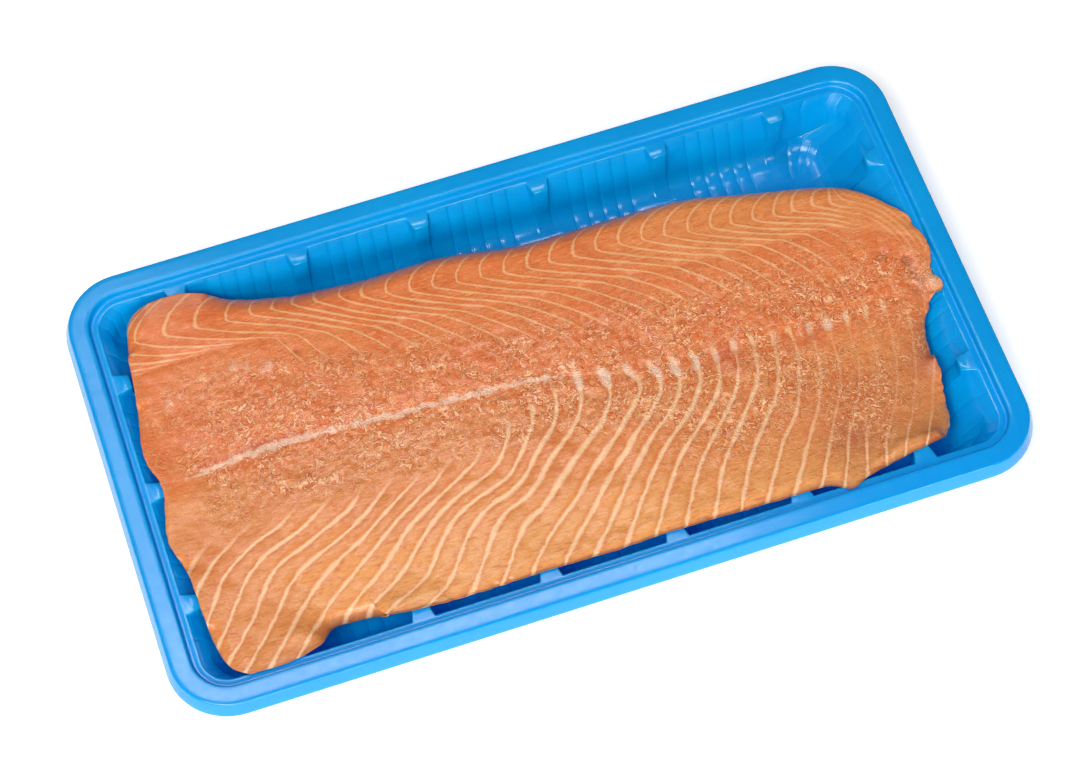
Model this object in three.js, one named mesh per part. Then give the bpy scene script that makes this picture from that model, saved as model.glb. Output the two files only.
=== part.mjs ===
// A raw salmon fillet, skin side down, in its moulded blue plastic tray.
// Millimetres, +Z up. The origin is the bottom centre of the tray, +X runs along its long
// side, and the fillet's thick back lies towards +Y.
import * as THREE from 'three';

// ---- Driving dimensions of the tray ----
const TRAY_HEIGHT = 30; // underside of the floor to the top of the flange
const SHEET = 0.8; // thickness of the moulded sheet
const LEDGE_HALF_X = 177; // centre to the ledge's inner edge
const LEDGE_HALF_Y = 93.7;
const LEDGE_DROP = 3.25; // ledge below the flange
const LEDGE_WIDTH = 4.1; // foot of the riser to the ledge's inner edge
const LEDGE_CORNER = 12.3; // corner radius at the ledge's inner edge
const FLANGE_WIDTH = 8.9;
const SKIRT_DROP = 7; // lower edge of the skirt below the flange
const SKIRT_FLARE = 2; // how far the skirt leans out
const PANEL_INSET = 1.6; // wall panels stand this far in from the ledge's inner edge
const FOOT_RADIUS = 10; // rounding between wall and floor
const LONG_FOOT_INSET = 16.5; // ledge's inner edge to the flat floor, long sides
const SHORT_FOOT_INSET = 25.1; // the same on the short sides, which lean more
const FLOOR_CORNER = 7; // corner radius of the flat floor
const CORNER_STEPS = 6; // facets round each corner

// ---- The stacking lugs: small shelves that stand in from the ledge ----
const LUG_REACH = 6.7; // from the ledge's inner edge
const LUG_ROOT_HALF = 4.95; // half its width at the ledge
const LUG_TIP_HALF = 3.5; // half its width at the front, and of the column under it
const LUG_SIDE_SLOPE = 0.3; // how far a lug's side spreads where it meets the wall
const LUG_TOP_FALL = 0.4; // the top tips this far down towards the front
const LUG_DRAFT = 0.03; // lean of the column under a lug
const COLUMN_PROUD = 0.8; // how far the column stands out from the wall at its foot
const LUG_SPOTS_LONG = [-140, -84, -28, 28, 84, 140];
const LUG_SPOTS_SHORT = [-55, 0, 55];

// ---- Driving dimensions of the fillet ----
const CLEARANCE = 0.35; // gap left between the fillet and the tray
const THIN_EDGE = 0.9; // least thickness of the flesh just inside its outline
const THIN_FLAP = 1.7; // least thickness where it lies over the ledge or a lug
const ROUND_BACK = 12; // how far in each edge is rounded
const ROUND_FRONT = 6;
const ROUND_LEFT = 8;
const ROUND_RIGHT = 8;
const FILLET_SPAN_X = 350; // typical length and width, used to place the edge rows
const FILLET_SPAN_Y = 165;
const EDGE_ROWS = [0, 0.05, 0.2, 0.5, 1]; // rows within an edge's rounding
const MIDDLE_COLUMNS = 46;
const MIDDLE_ROWS = 14;
const ROW_CROWDING = 0.085; // how much the rows crowd towards the front and back edges

// The outline at its widest, as [x, y, height above the flange top]. The four stretches
// meet at the fillet's four blunt corners.
const FRONT_LEFT = [-159.2, -94.5, -2.2];
const FRONT_RIGHT = [150.5, -83.4, -8];
const BACK_RIGHT = [168.5, 34.5, -5];
const BACK_LEFT = [-163.7, 88.8, -4.5];
const FRONT_EDGE = [
  FRONT_LEFT, [-141.7, -94.5, -2.2], [-128, -88.4, -8], [-119, -81.6, -12],
  [-104, -82.8, -11], [-71, -87.7, -6], [-26, -87.6, -5], [24, -89.1, -4.5],
  [73.6, -90.6, -3.8], [97, -91.8, -3], [105.2, -96.3, -2.1], [113, -93, -3],
  [134, -87, -6], FRONT_RIGHT,
];
const BACK_EDGE = [
  BACK_LEFT, [-151.5, 90.2, -3.5], [-139, 89.8, -3.2], [-118, 84, -12],
  [-98, 78.5, -14.5], [-60, 74.2, -14.5], [-25, 73.8, -14.5], [12, 68, -14.5],
  [49, 67.6, -14.5], [87, 66, -14], [112, 60.2, -13], [154, 47.4, -9], BACK_RIGHT,
];
const LEFT_EDGE = [
  FRONT_LEFT, [-165.3, -89.7, -3], [-169.4, -76, -5], [-171.6, -40.7, -6],
  [-175.2, -25.5, -4], [-171, 0.6, -5], [-174.4, 15, -4], [-169.9, 49, -6],
  [-168.4, 64, -6], BACK_LEFT,
];
const RIGHT_EDGE = [
  FRONT_RIGHT, [157, -76, -10], [161.8, -54, -12], [164.5, -31, -10],
  [168.5, -23.5, -7], [174, -16.7, -4], [178.3, -12, -2.3], [179.5, 1.7, -1.9],
  [177.6, 20, -2.2], BACK_RIGHT,
];

// Height of the top surface above the flange top, evenly spaced from the left end to the
// right end, on five lines from the front edge to the back edge.
const TOP_HEIGHTS = [
  [-1.4, -6.5, -3.4, -2.8, -2.4, -3.2, -6.2],
  [-3.0, -3.2, -1.9, -1.7, -2.3, -4.0, -7.5],
  [-3.6, -2.3, -1.3, -1.3, -1.9, -2.9, -4.2],
  [-3.4, -1.9, -0.8, -0.8, -1.3, -2.1, -0.9],
  [-2.2, -3.0, -2.5, -2.5, -2.5, -3.2, -2.0],
];

// Where the flesh is held up by the walls. Each slope stands a little inside the real wall,
// so that the straight facets of the two bodies never meet.
const BAY_HOLD = { inset: 3, longFall: 2.1, shortFall: 1.15 };
const LUG_HOLD = { inset: 12, longFall: 2.1, shortFall: 1.5 };
const LUG_HOLD_HALF = 9; // half the width over which a lug holds the flesh up
const LUG_HOLD_FADE = 6; // and the width over which that fades to the bay beside it

// ---- Small helpers ----
const mix = (a, b, t) => a + (b - a) * t;
const clamp01 = (t) => Math.min(1, Math.max(0, t));

/** A closed body from a list of points and triangles given as three point numbers each. */
function bodyMesh(name, points, triangles, material) {
  const geometry = new THREE.BufferGeometry();
  geometry.setAttribute('position', new THREE.Float32BufferAttribute(points.flat(), 3));
  geometry.setIndex(triangles.flat());
  geometry.computeVertexNormals();
  const mesh = new THREE.Mesh(geometry, material);
  mesh.name = name;
  return mesh;
}

/** Triangles of the band between two closed rings with the same number of points. */
function bandTriangles(ringA, ringB) {
  return ringA.flatMap((a, i) => {
    const next = (i + 1) % ringA.length;
    return [[a, ringA[next], ringB[next]], [a, ringB[next], ringB[i]]];
  });
}

/** Triangles that fill a flat ring, with or without a hole, facing up or down. */
function flatTriangles(points, outer, hole, facesUp) {
  const flat = (ring) => ring.map((i) => new THREE.Vector2(points[i][0], points[i][1]));
  const numbers = [...outer, ...hole];
  const holes = hole.length ? [flat(hole)] : [];
  const found = THREE.ShapeUtils.triangulateShape(flat(outer), holes);
  return found.map((corners) => {
    const triangle = corners.map((c) => numbers[c]);
    const isUp = THREE.ShapeUtils.area(flat(triangle)) > 0;
    return isUp === facesUp ? triangle : triangle.reverse();
  });
}

// ---- The tray ----

/** Lean from the vertical of a wall that runs from its panel's top into the foot's rounding. */
function wallLean(footInset) {
  const across = footInset - PANEL_INSET;
  const down = TRAY_HEIGHT - SHEET - FOOT_RADIUS - LEDGE_DROP;
  return Math.acos(FOOT_RADIUS / Math.hypot(across, down)) - Math.atan2(down, across);
}

/** Skirt, flange, riser and ledge as [inset from the ledge's inner edge, height]. */
function rimProfile() {
  const outer = -LEDGE_WIDTH - FLANGE_WIDTH;
  return [
    [outer - SKIRT_FLARE, -SKIRT_DROP],
    [outer - 0.25, -1],
    [outer + 0.1, -0.3],
    [outer + 1, 0],
    [-LEDGE_WIDTH - 0.6, 0],
    [-LEDGE_WIDTH - 0.05, -0.5],
    [-LEDGE_WIDTH + 0.25, -LEDGE_DROP],
  ];
}

/** Depth at which a lug's front meets the column that stands on the wall below it. */
function lugDepth(lean) {
  const reach = LUG_REACH - PANEL_INSET - COLUMN_PROUD / Math.cos(lean);
  return reach / (Math.tan(lean) - LUG_DRAFT);
}

/** The wall from the ledge's inner edge to the floor, at a bay or down a lug's middle. */
function wallProfile(footInset, isLug) {
  const lean = wallLean(footInset);
  const wallInset = (depth) => PANEL_INSET + depth * Math.tan(lean);
  const depth = lugDepth(lean);
  const below = (drop) => -LEDGE_DROP - drop;
  const top = isLug
    ? [
      [0.1, below(0.05)],
      [LUG_REACH - 0.8, below(LUG_TOP_FALL)],
      [LUG_REACH, below(LUG_TOP_FALL + 0.6)],
      [LUG_REACH + LUG_DRAFT * depth, below(depth)],
    ]
    : [
      [0.1, below(0.45)],
      [PANEL_INSET * 0.6, below(0.75)],
      [wallInset(2), below(2)],
      [wallInset(depth), below(depth)],
    ];
  const footAngles = [lean, Math.PI / 4, Math.PI * 0.37];
  const foot = footAngles.map((angle) => {
    const fade = Math.cos(angle) / Math.cos(lean);
    const radius = FOOT_RADIUS - (isLug ? COLUMN_PROUD * fade : 0);
    return [
      footInset - radius * Math.cos(angle),
      -TRAY_HEIGHT + SHEET + FOOT_RADIUS - radius * Math.sin(angle),
    ];
  });
  return [[-0.5, below(0)], ...top, ...foot, [footInset, -TRAY_HEIGHT + SHEET]];
}

/** The same profile on the underside of the sheet, square to each stretch. */
function undersideOf(profile, lastInset) {
  const path = [...profile, [lastInset, profile.at(-1)[1]]];
  const normals = path.slice(1).map(([inset, height], i) => {
    const along = [inset - path[i][0], height - path[i][1]];
    const length = Math.hypot(...along);
    return [along[1] / length, -along[0] / length];
  });
  return profile.map(([inset, height], i) => {
    const before = normals[Math.max(0, i - 1)];
    const after = normals[i];
    const sum = [before[0] + after[0], before[1] + after[1]];
    const scale = SHEET / (1 + before[0] * after[0] + before[1] * after[1]);
    return [inset + sum[0] * scale, height + sum[1] * scale];
  });
}

/** Rim and wall profiles of one kind of side, for the sheet's face or its underside. */
function sideProfiles(footInset, isUnder) {
  const rim = rimProfile();
  const build = (isLug) => {
    const whole = [...rim, ...wallProfile(footInset, isLug)];
    return isUnder ? undersideOf(whole, footInset + FOOT_RADIUS) : whole;
  };
  return { bay: build(false), lug: build(true), rimCount: rim.length };
}

/** Sides 0 to 3 are right, back, left and front. Out is away from the centre. */
function sidePoint(side, out, along, height) {
  const spots = [[out, along], [-along, out], [-out, -along], [along, -out]];
  return [...spots[side], height];
}

const SIDES = [0, 1, 2, 3];
const isShortSide = (side) => side % 2 === 0;
const footInsetOf = (side) => (isShortSide(side) ? SHORT_FOOT_INSET : LONG_FOOT_INSET);
const ledgeHalfOf = (side) => (isShortSide(side) ? LEDGE_HALF_X : LEDGE_HALF_Y);

/** Corner radius at a level: the same centre out to the skirt, tighter down to the floor. */
function cornerRadius(inset, footInset) {
  return inset < 0
    ? LEDGE_CORNER - inset
    : mix(LEDGE_CORNER, FLOOR_CORNER, clamp01(inset / footInset));
}

/** One point of the tray at a corner, turned by part of a quarter turn from its side. */
function cornerPoint(profiles, side, turn, level) {
  const next = (side + 1) % 4;
  const here = profiles[side].bay[level];
  const there = profiles[next].bay[level];
  const radius = (cornerRadius(here[0], footInsetOf(side))
    + cornerRadius(there[0], footInsetOf(next))) / 2;
  const out = ledgeHalfOf(side) - here[0] - radius;
  const along = ledgeHalfOf(next) - there[0] - radius;
  const angle = turn * Math.PI / 2;
  const height = mix(here[1], there[1], turn);
  return sidePoint(
    side, out + radius * Math.cos(angle), along + radius * Math.sin(angle), height,
  );
}

/** One point of the tray beside or on a lug. */
function lugPoint(profiles, side, lug, level, isUnder) {
  const profile = lug.isRaised ? profiles[side].lug : profiles[side].bay;
  const [inset, height] = profile[level];
  const taper = clamp01(inset / LUG_REACH);
  const spread = (lug.isRaised ? 0 : LUG_SIDE_SLOPE) - (isUnder ? SHEET : 0);
  const half = mix(LUG_ROOT_HALF, LUG_TIP_HALF, taper) + spread;
  return sidePoint(side, ledgeHalfOf(side) - inset, lug.spot + lug.edge * half, height);
}

/** The lug edges along one side, in order. */
function lugEdges(side) {
  const spots = isShortSide(side) ? LUG_SPOTS_SHORT : LUG_SPOTS_LONG;
  return spots.flatMap((spot) => [
    { spot, edge: -1, isRaised: false },
    { spot, edge: -1, isRaised: true },
    { spot, edge: 1, isRaised: true },
    { spot, edge: 1, isRaised: false },
  ]);
}

/** All rings of one face of the sheet, from the skirt's lower edge in to the floor. */
function sheetRings(isUnder) {
  const profiles = SIDES.map((side) => sideProfiles(footInsetOf(side), isUnder));
  const { rimCount } = profiles[0];
  return profiles[0].bay.map((_, level) => SIDES.flatMap((side) => {
    const turns = Array.from({ length: CORNER_STEPS + 1 }, (_turn, i) => i / CORNER_STEPS);
    const corner = turns.map((turn) => cornerPoint(profiles, side, turn, level));
    const isRim = level < rimCount;
    const lugs = isRim ? [] : lugEdges(side);
    return [...lugs.map((lug) => lugPoint(profiles, side, lug, level, isUnder)), ...corner];
  }));
}

function trayMesh() {
  const points = [];
  const triangles = [];
  const addRing = (ring) => ring.map(([x, y, height]) => (
    points.push([x, y, height + TRAY_HEIGHT]) - 1
  ));
  const edges = [false, true].map((isUnder) => {
    const rings = sheetRings(isUnder).map(addRing);
    const faces = rings.slice(1).flatMap((ring, i) => (
      ring.length === rings[i].length
        ? bandTriangles(rings[i], ring)
        : flatTriangles(points, rings[i], ring, true)
    ));
    faces.push(...flatTriangles(points, rings.at(-1), [], true));
    triangles.push(...(isUnder ? faces.map((face) => face.reverse()) : faces));
    return rings[0];
  });
  triangles.push(...bandTriangles(edges[1], edges[0]));
  const plastic = new THREE.MeshStandardMaterial({ roughness: 0.3, metalness: 0 });
  plastic.color.setStyle('rgb(5, 153, 226)');
  return bodyMesh('tray', points, triangles, plastic);
}

// ---- The fillet ----

/** How far a place lies in from the ledge's inner edge, round the corners too. */
function insetFromLedge(x, y) {
  const beyondX = Math.abs(x) - (LEDGE_HALF_X - LEDGE_CORNER);
  const beyondY = Math.abs(y) - (LEDGE_HALF_Y - LEDGE_CORNER);
  const outside = Math.hypot(Math.max(beyondX, 0), Math.max(beyondY, 0));
  return LEDGE_CORNER - outside - Math.min(Math.max(beyondX, beyondY), 0);
}

/** 1 over a lug, 0 over the bays. */
function lugHold(along, spots) {
  const nearest = Math.min(...spots.map((spot) => Math.abs(along - spot)));
  return 1 - clamp01((nearest - LUG_HOLD_HALF) / LUG_HOLD_FADE);
}

/** Height of the slope that keeps the flesh off one wall, at a given inset from its ledge. */
function holdHeight(inset, hold, fallName) {
  const start = mix(BAY_HOLD.inset, LUG_HOLD.inset, hold);
  const fall = mix(BAY_HOLD[fallName], LUG_HOLD[fallName], hold);
  return -LEDGE_DROP - Math.max(0, inset - start) * fall;
}

/** Lowest height that the flesh may have at a place: on the floor, a wall, lug or ledge. */
function restHeight(x, y) {
  const floor = -TRAY_HEIGHT + SHEET;
  const lugLong = lugHold(x, LUG_SPOTS_LONG);
  const lugShort = lugHold(y, LUG_SPOTS_SHORT);
  return CLEARANCE + Math.max(
    floor,
    holdHeight(LEDGE_HALF_Y - Math.abs(y), lugLong, 'longFall'),
    holdHeight(LEDGE_HALF_X - Math.abs(x), lugShort, 'shortFall'),
    holdHeight(insetFromLedge(x, y), 0, 'shortFall'),
  );
}

/** A smooth curve through evenly spaced values. */
function smoothValue(values, t) {
  const place = clamp01(t) * (values.length - 1);
  const first = Math.min(Math.floor(place), values.length - 2);
  const f = place - first;
  const at = (i) => values[Math.min(values.length - 1, Math.max(0, i))];
  const [a, b, c, d] = [at(first - 1), at(first), at(first + 1), at(first + 2)];
  return b + 0.5 * f * (c - a + f * (2 * a - 5 * b + 4 * c - d + f * (3 * (b - c) + d - a)));
}

/** Fractions across the fillet: close together within each edge's rounding, and in between
 *  evenly spaced, or crowded towards both edges. */
function rowFractions(roundStart, roundEnd, span, middleCount, crowding) {
  const start = EDGE_ROWS.map((row) => row * roundStart / span);
  const end = EDGE_ROWS.map((row) => 1 - row * roundEnd / span).reverse();
  const middle = Array.from({ length: middleCount }, (_, i) => {
    const even = (i + 1) / (middleCount + 1);
    return mix(start.at(-1), end[0], even - crowding * Math.sin(2 * Math.PI * even));
  });
  return [...start, ...middle, ...end];
}

/** A quarter round: 0 at the outline, 1 where the rounding ends. */
function roundedEdge(distance, radius) {
  const left = 1 - clamp01(distance / radius);
  return Math.sqrt(Math.max(0, 1 - left * left));
}

/** An edge as a smooth curve, lifted where the tray holds the flesh up. */
function edgeCurve(spots) {
  const curve = new THREE.CatmullRomCurve3(
    spots.map((spot) => new THREE.Vector3(...spot)), false, 'centripetal',
  );
  return (t) => {
    const point = curve.getPointAt(t);
    point.z = Math.max(point.z, restHeight(point.x, point.y) + THIN_EDGE);
    return point;
  };
}

/** The surface stretched between the four edges, at fractions along and across. */
function stretchedPoint(edges, u, v) {
  const point = new THREE.Vector3();
  const add = (other, weight) => point.addScaledVector(other, weight);
  add(edges.front(u), 1 - v);
  add(edges.back(u), v);
  add(edges.left(v), 1 - u);
  add(edges.right(v), u);
  add(edges.front(0), -(1 - u) * (1 - v));
  add(edges.front(1), -u * (1 - v));
  add(edges.back(0), -(1 - u) * v);
  add(edges.back(1), -u * v);
  return point;
}

/** Top and underside of the fillet at one place. */
function fleshHeights(edges, u, v) {
  const edge = stretchedPoint(edges, u, v);
  const rest = restHeight(edge.x, edge.y);
  const round = roundedEdge(v * FILLET_SPAN_Y, ROUND_FRONT)
    * roundedEdge((1 - v) * FILLET_SPAN_Y, ROUND_BACK)
    * roundedEdge(u * FILLET_SPAN_X, ROUND_LEFT)
    * roundedEdge((1 - u) * FILLET_SPAN_X, ROUND_RIGHT);
  const net = smoothValue(TOP_HEIGHTS.map((line) => smoothValue(line, u)), v);
  const top = Math.max(net, rest + THIN_FLAP);
  return {
    x: edge.x,
    y: edge.y,
    top: mix(edge.z, top, round),
    bottom: Math.max(mix(edge.z, rest, round), rest),
  };
}

function filletMesh() {
  const edges = {
    front: edgeCurve(FRONT_EDGE),
    back: edgeCurve(BACK_EDGE),
    left: edgeCurve(LEFT_EDGE),
    right: edgeCurve(RIGHT_EDGE),
  };
  const columns = rowFractions(ROUND_LEFT, ROUND_RIGHT, FILLET_SPAN_X, MIDDLE_COLUMNS, 0);
  const rows = rowFractions(
    ROUND_FRONT, ROUND_BACK, FILLET_SPAN_Y, MIDDLE_ROWS, ROW_CROWDING,
  );
  const points = [];
  const addPoint = (x, y, height) => points.push([x, y, height + TRAY_HEIGHT]) - 1;
  const grid = columns.map((u, i) => rows.map((v, j) => {
    const flesh = fleshHeights(edges, u, v);
    const isOutline = i === 0 || j === 0 || i === columns.length - 1 || j === rows.length - 1;
    const top = addPoint(flesh.x, flesh.y, flesh.top);
    return { top, bottom: isOutline ? top : addPoint(flesh.x, flesh.y, flesh.bottom) };
  }));
  const triangles = grid.slice(1).flatMap((column, i) => column.slice(1).flatMap((_, j) => {
    const corners = [grid[i][j], grid[i + 1][j], grid[i + 1][j + 1], grid[i][j + 1]];
    const [a, b, c, d] = corners.map((corner) => corner.top);
    const [e, f, g, h] = corners.map((corner) => corner.bottom);
    return [[a, b, c], [a, c, d], [e, g, f], [e, h, g]];
  }));
  const flesh = new THREE.MeshStandardMaterial({ roughness: 0.4, metalness: 0 });
  flesh.color.setStyle('rgb(224, 146, 94)');
  return bodyMesh('fillet', points, triangles, flesh);
}

const pack = new THREE.Group();
pack.add(trayMesh(), filletMesh());
export default pack;
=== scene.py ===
"""A raw salmon fillet in its moulded blue plastic tray, seen from above at a slant.

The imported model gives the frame: metres, +Z up, the origin at the bottom centre of the
tray, +X along its long side and the fillet's thick back towards +Y. Sizes below are in
millimetres, heights of the fillet are measured from the top of the tray's flange.
"""
import math

import bmesh
import bpy
import numpy as np
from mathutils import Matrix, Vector, noise


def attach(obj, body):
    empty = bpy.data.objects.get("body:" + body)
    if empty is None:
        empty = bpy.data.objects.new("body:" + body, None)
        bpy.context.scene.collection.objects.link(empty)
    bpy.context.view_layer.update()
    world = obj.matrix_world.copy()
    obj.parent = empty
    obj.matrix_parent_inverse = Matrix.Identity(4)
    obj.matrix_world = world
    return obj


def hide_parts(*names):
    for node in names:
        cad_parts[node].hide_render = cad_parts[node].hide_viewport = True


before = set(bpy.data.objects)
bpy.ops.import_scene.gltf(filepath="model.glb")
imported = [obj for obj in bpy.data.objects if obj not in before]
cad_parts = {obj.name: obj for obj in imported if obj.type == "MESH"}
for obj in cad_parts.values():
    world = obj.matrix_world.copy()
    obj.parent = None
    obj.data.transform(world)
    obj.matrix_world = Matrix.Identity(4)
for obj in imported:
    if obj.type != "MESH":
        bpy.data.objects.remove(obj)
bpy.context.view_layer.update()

MM = 0.001

# ---- Tray sizes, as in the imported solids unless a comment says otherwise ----
TRAY_HEIGHT = 30.0
SHEET = 0.8
LEDGE_HALF = {"x": 177.0, "y": 93.7}
LEDGE_DROP = 3.25
LEDGE_WIDTH = 4.1
LEDGE_LEAN = 0.22  # the ledge's outer side lies this much lower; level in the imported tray
LEDGE_CORNER = 12.3
FLANGE_WIDTH = 8.9
SKIRT_DROP = 7.0
SKIRT_FLARE = 2.0
PANEL_INSET = 1.6
PANEL_DEPTH = 12.0  # panels lie that far in once this deep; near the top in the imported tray
FOOT_RADIUS = 10.0
FOOT_INSET = {"x": 25.1, "y": 16.5}
FLOOR_CORNER = 7.0

LUG_REACH = 6.7
LUG_ROOT_HALF = 4.95
LUG_TIP_HALF = 3.5
LUG_TOP_FALL = {"y": 0.1, "x": 0.5}  # 0.4 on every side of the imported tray
LUG_DRAFT = 0.03
COLUMN_PROUD = 0.8
LUG_SPOTS = {"y": (-140, -84, -28, 28, 84, 140), "x": (-55, 0, 55)}

# ---- The fine grooves between the lugs, which only the visual tray has ----
GROOVE_PITCH = 6.9
GROOVE_DEPTH = {"y": 0.45, "x": 0.15}
FOOT_RISE = {"y": 0.4, "x": 0.1}  # the panels' feet stand this proud of the grooves
GROOVES_A_BAY = 5
BAY_MIDDLES = {"y": (-112, -56, 0, 56, 112), "x": (-27.5, 27.5)}
END_GROOVES = {"y": 155.5, "x": 71.5}
CORNER_GROOVES = (20.0, 45.0, 70.0)  # degrees round each corner
FLOOR_RUN = (3.0, 6.2, 6.9)  # rings on the floor; the grooves fade out by the second
MERGE = 0.001  # mm, points closer than this are one point
SQUEEZE_FROM = {"y": 120.0, "x": 50.0}  # beyond here the stations draw in below the rim

# ---- Fillet sizes ----
CLEARANCE = 0.35
THIN_EDGE = 0.9
THIN_FLAP = 1.7
LIFT_SPREAD = 0.5
ROUND = {"front": 9.0, "back": 13.0, "left": 9.0, "right": 9.0}
SPAN_ALONG = 350.0
SPAN_ACROSS = 165.0
CELLS_ALONG = 300
CELLS_ACROSS = 150
EDGE_CELLS = 9  # rows of cells within each edge's rounding

FRONT_LEFT = (-159.2, -94.5, -2.2)
FRONT_RIGHT = (150.5, -83.4, -8)
BACK_RIGHT = (168.5, 34.5, -5)
BACK_LEFT = (-161.6, 86.2, -4.5)
EDGES = {
    "front": [
        FRONT_LEFT, (-141.7, -94.5, -2.2), (-128, -88.4, -8), (-119, -81.6, -12),
        (-104, -82.8, -11), (-71, -88.3, -6), (-26, -88.7, -5), (0, -89.5, -4.7),
        (24, -88.9, -4.5),
        (73.6, -90.6, -3.8), (97, -91.8, -3), (105.2, -96.3, -2.1), (113, -93, -3),
        (134, -87, -6), FRONT_RIGHT,
    ],
    "back": [
        BACK_LEFT, (-157.2, 88.6, -4), (-150, 90.0, -3.5), (-139, 89.8, -3.4),
        (-129, 87.6, -5.5), (-118, 84, -12),
        (-98, 78.5, -14.5), (-60, 74.2, -14.5), (-25, 73.8, -14.5), (12, 68, -14.5),
        (49, 67.6, -14.5), (87, 66, -14), (112, 60.2, -13), (154, 47.4, -9), BACK_RIGHT,
    ],
    "left": [
        FRONT_LEFT, (-165.3, -89.7, -3), (-169.4, -76, -5), (-171.6, -40.7, -6),
        (-175.2, -25.5, -4), (-171, 0.6, -5), (-174.4, 15, -4), (-169.9, 49, -6),
        (-168.2, 66, -6), (-166.3, 76, -5), (-164.4, 82.4, -4.6), BACK_LEFT,
    ],
    "right": [
        FRONT_RIGHT, (157, -76, -10), (161.8, -54, -12), (164.5, -31, -10),
        (168.5, -23.5, -7), (172.3, -18.6, -4), (176.6, -17.4, -3), (178.8, -13.5, -2.6),
        (175.8, -9.2, -2.4), (176.8, -4.5, -2.2), (179.3, 1.7, -1.9), (179.0, 12, -2.0),
        (177.2, 16, -2.2), (177.4, 20, -2.2), BACK_RIGHT,
    ],
}
TOP_HEIGHTS = [
    (-1.4, -6.5, -3.4, -2.8, -2.4, -3.2, -6.2),
    (-3.0, -3.2, -1.9, -1.7, -2.3, -4.0, -7.5),
    (-3.6, -2.3, -1.3, -1.3, -1.9, -2.9, -4.2),
    (-3.4, -1.9, -0.8, -0.8, -1.3, -2.1, -0.9),
    (-2.2, -3.0, -2.5, -2.5, -2.5, -3.2, -2.0),
]
BAY_HOLD = {"inset": 3.0, "y": 2.1, "x": 1.15}
LUG_HOLD = {"inset": 12.0, "y": 2.1, "x": 1.5}
LUG_HOLD_HALF = 9.0
LUG_HOLD_FADE = 6.0

# ---- How the flesh is marked ----
# Muscle blocks are counted from left to right; a cream fat line lies at each whole number.
# Each line runs from the back edge down to a point, on to the seam, across the thick loin,
# turns back at the middle line and sweeps down the belly to the front edge.
SEAM = [(-175, 54), (-170, 55), (-150, 56.5), (-114, 55), (-77, 46.5), (-47, 41.5),
        (-12, 36.5), (23, 33), (73, 29.5), (110, 27), (148, 23), (172, 10), (180, 4)]
MIDDLE = [(-178, -4), (-158, 0), (-125, 3), (-100, 2), (-60, -1), (-20, -3), (5, -6),
          (22, -10), (45, -14), (85, -16), (110, -18.5), (150, -18), (182, -16)]
POINTS_LINE = [(-180, 72), (-150, 70), (-112, 68), (-84, 65.5), (-64, 61), (-43, 56),
               (-10, 52), (19, 49.5), (52, 48), (83, 44), (122, 39.5), (150, 36),
               (168, 24), (182, 12)]
SEAM_FIRST = (11, -40.0)  # a line's number and where it meets the seam
SEAM_PITCH = 10.46
# Where each line's point lies along the back, by the line's number.
POINT_SPOTS = [(-9, -320), (2, -177), (3, -164), (4, -150.5), (5, -137), (6, -123),
               (7, -112), (8, -102.5), (9, -93.5), (10, -84), (11, -73), (12, -63.5),
               (13, -53), (14, -43), (17, -11.5), (20, 20), (24, 62), (27, 92.5),
               (28, 101.5), (29, 112), (30, 121.5), (31, 130), (32, 139), (33, 147),
               (34, 154), (36, 166), (38, 176)]
CORNER_SPOTS = [(-4, -186), (0, -174), (1, -171), (2, -168), (3, -164)]  # upper arms only
ARM_RUN = [(-180, 55), (-130, 52), (-90, 40), (180, 38)]  # from a point on to the seam
LOIN_RUN = [(-180, 24), (-85, 28), (-36, 35), (13, 42), (54, 42), (90, 36), (124, 28),
            (180, 18)]
# The lines that bend round the right end: their centre, and one line's reach and number.
ROUND_END = {"x": 133.0, "y": 0.0, "reach": 39.8, "count": 33.3, "pitch": 2.67}
# How far below the middle line the belly's lines begin to show.
BELLY_START = [(-180, 34), (-70, 31), (-35, 25), (-10, 8), (10, 0), (180, 0)]
BELLY_LINES = {
    2: [(-130, -34.5), (-159, -51), (-171, -69)],
    4: [(-100, -37), (-133, -50.5), (-150, -70), (-166, -87)],
    6: [(-67, -32), (-108, -56), (-133, -76), (-141, -85)],
    8: [(-40, -31), (-80, -55), (-100, -71.5), (-117, -84)],
    10: [(-13, -24), (-30, -44), (-57, -55), (-77, -76), (-98, -87)],
    12: [(8, -25), (-12, -43), (-36, -60), (-49, -73), (-61, -89)],
    14: [(37, -20), (20, -40), (-3, -60), (-20, -74), (-33, -88)],
    16: [(50, -32), (35, -45), (14, -66), (2, -80), (-8, -91)],
    18: [(70, -30), (52, -50), (41, -60), (29, -76), (20, -90)],
    20: [(88, -28), (75, -48), (62, -63), (51, -80), (46, -90)],
    22: [(107, -24), (102, -42), (96, -54), (84, -69), (70, -90)],
    24: [(123, -28), (118, -50), (106, -70), (93, -92)],
    26: [(140, -32), (136, -50), (121, -74), (114, -92)],
    28: [(158, -32), (152, -52), (142, -72), (132, -90)],
}
MARK_SHIFT = (0.3, 1.0)  # the lines above were drawn on the flange's plane

# Small marks as (x, y, radius).
ROUGH_SPOTS = [(70, -42, 24), (125, -62, 22), (60, -35, 20)]
PITS = [(159, 6, 1.8), (168, 0, 2.2), (-127, 34, 1.5), (-98, 45, 1.3), (178, 16, 2.0)]
SCUFFS = [(-126, 46, 2.4), (-121, 44, 1.8), (-112, 42, 2.2), (-143, 37, 1.8),
          (-157, 39, 1.6), (-152, 41, 1.2)]
NUB = [(175.2, -13.6, 3.6)]
CRACK = [(167.6, 1, 1.3), (168.2, -3, 1.4), (169.2, -7, 1.6), (170.6, -11.5, 1.8)]
BROWN_SPOTS = [(115, -72, 10), (148, -84, 7), (162, -30, 9), (160, -45, 8)]
RED_SPOTS = [(78, -20, 6.5), (116, -21, 4)]

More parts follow.
